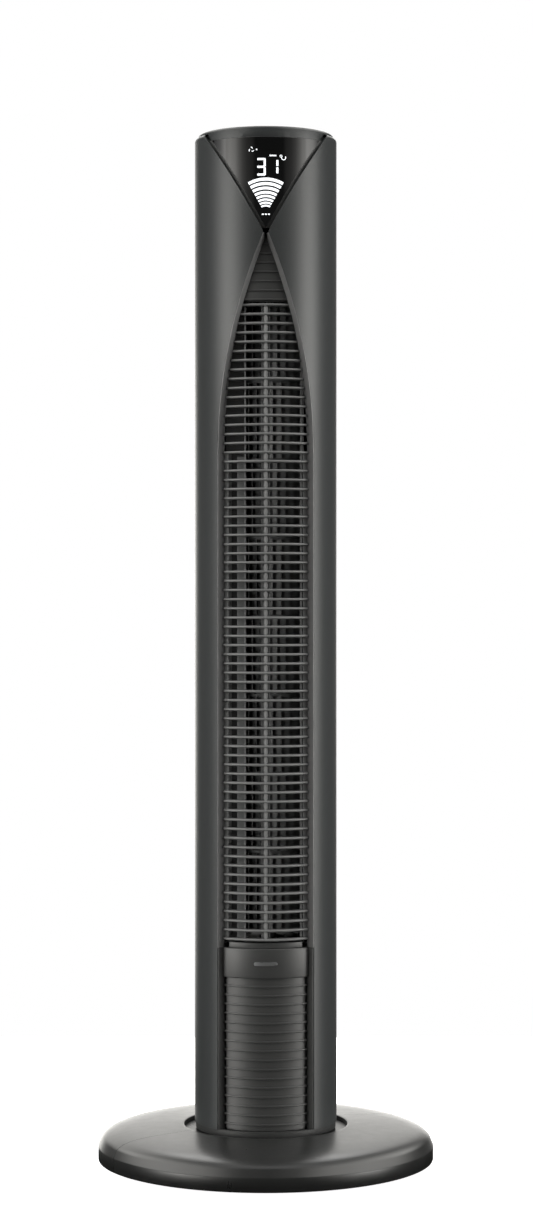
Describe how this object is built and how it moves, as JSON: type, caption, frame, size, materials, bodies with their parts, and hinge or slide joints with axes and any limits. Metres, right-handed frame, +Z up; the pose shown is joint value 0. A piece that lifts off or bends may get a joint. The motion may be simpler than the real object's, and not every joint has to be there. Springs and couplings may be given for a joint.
{
  "type": "tower fan",
  "caption": "Slim cylindrical tower fan with a slatted front outlet, triangular display, push buttons and a motor-swung column on a round two-piece base.",
  "frame": {"origin": "centre of the base on the floor", "axes": "+Z up, the air outlet faces -Y, +X to the viewer's right"},
  "size_m": [0.314, 0.314, 0.96],
  "materials": {
    "base_grey": "satin dark grey",
    "shell_grey": "satin charcoal, slightly metallic",
    "rubber_black": "matte",
    "steel": "brushed",
    "slip_white": "smooth acetal",
    "neck_black": "fine grain",
    "grille_grey": "satin",
    "trim_silver": "satin silver grey",
    "display_gloss": "polished",
    "board_green": "solder mask",
    "bronze": "sintered",
    "motor_alloy": "cast",
    "impeller_grey": "smooth",
    "button_black": "satin"
  },
  "bodies": {
    "base": {"base_half_front": "base_grey", "base_half_rear": "base_grey", "base_feet": "rubber_black", "base_screws": "steel", "swivel_plate": "base_grey", "slip_ring": "slip_white", "swing_gear": "slip_white", "spindle_nut": "steel"},
    "column": {"turntable": "neck_black", "swing_motor": "steel", "side_shell_left": "shell_grey", "side_shell_right": "shell_grey", "rear_shell": "shell_grey", "rear_shell_top": "shell_grey", "rear_grille": "neck_black", "grip_cup": "neck_black", "cord_gland": "rubber_black", "column_screws": "steel", "front_grille": "grille_grey", "lens_trim": "trim_silver", "lower_trim": "neck_black", "upper_insert": "grille_grey", "badge_plate": "grille_grey", "lower_panel": "grille_grey", "display_frame": "neck_black", "display_panel": "display_gloss", "display_board": "board_green", "top_cap": "grille_grey", "control_board": "board_green", "lower_deck": "neck_black", "upper_deck": "neck_black", "scroll_duct": "neck_black", "tongue": "neck_black", "bearing_mount": "rubber_black", "upper_bearing": "bronze", "motor_stator": "steel", "motor_bell_lower": "motor_alloy", "motor_bell_upper": "motor_alloy", "motor_bearings": "bronze", "motor_bolts": "steel", "run_capacitor": "slip_white", "power_board": "board_green", "wiring": "neck_black"},
    "impeller": {"impeller_hub": "impeller_grey", "impeller_top_disc": "steel", "motor_rotor": "steel", "impeller_segment_1": "impeller_grey", "impeller_segment_2": "impeller_grey", "impeller_segment_3": "impeller_grey", "impeller_segment_4": "impeller_grey", "impeller_segment_5": "impeller_grey", "impeller_segment_6": "impeller_grey", "impeller_segment_7": "impeller_grey", "impeller_segment_8": "impeller_grey"},
    "drive_pinion": {"swing_pinion": "slip_white", "swing_shaft": "steel"},
    "power_button": {"button_power": "button_black"},
    "speed_button": {"button_speed": "button_black"},
    "timer_button": {"button_timer": "button_black"},
    "swing_button": {"button_swing": "button_black"}
  },
  "joints": [
    {"name": "column_swing", "type": "hinge", "parent": "base", "child": "column", "pos_m": [0, 0, 0.031], "axis": [0, 0, 1], "range_deg": [-40, 40]},
    {"name": "impeller_spin", "type": "hinge", "parent": "column", "child": "impeller", "pos_m": [0.006, 0.008, 0.2], "axis": [0, 0, 1], "continuous": true},
    {"name": "pinion_spin", "type": "hinge", "parent": "column", "child": "drive_pinion", "pos_m": [0, 0.035, 0.0436], "axis": [0, 0, 1], "range_deg": [-165, 165]},
    {"name": "power_press", "type": "slide", "parent": "column", "child": "power_button", "axis": [0, 0, -1], "range_m": [0, 0.0008], "stiffness_N_per_m": 400},
    {"name": "speed_press", "type": "slide", "parent": "column", "child": "speed_button", "axis": [0, 0, -1], "range_m": [0, 0.0008], "stiffness_N_per_m": 400},
    {"name": "timer_press", "type": "slide", "parent": "column", "child": "timer_button", "axis": [0, 0, -1], "range_m": [0, 0.0008], "stiffness_N_per_m": 400},
    {"name": "swing_press", "type": "slide", "parent": "column", "child": "swing_button", "axis": [0, 0, -1], "range_m": [0, 0.0008], "stiffness_N_per_m": 400}
  ],
  "couplings": [
    {"joint": "pinion_spin", "follows": "column_swing", "ratio": 4}
  ]
}
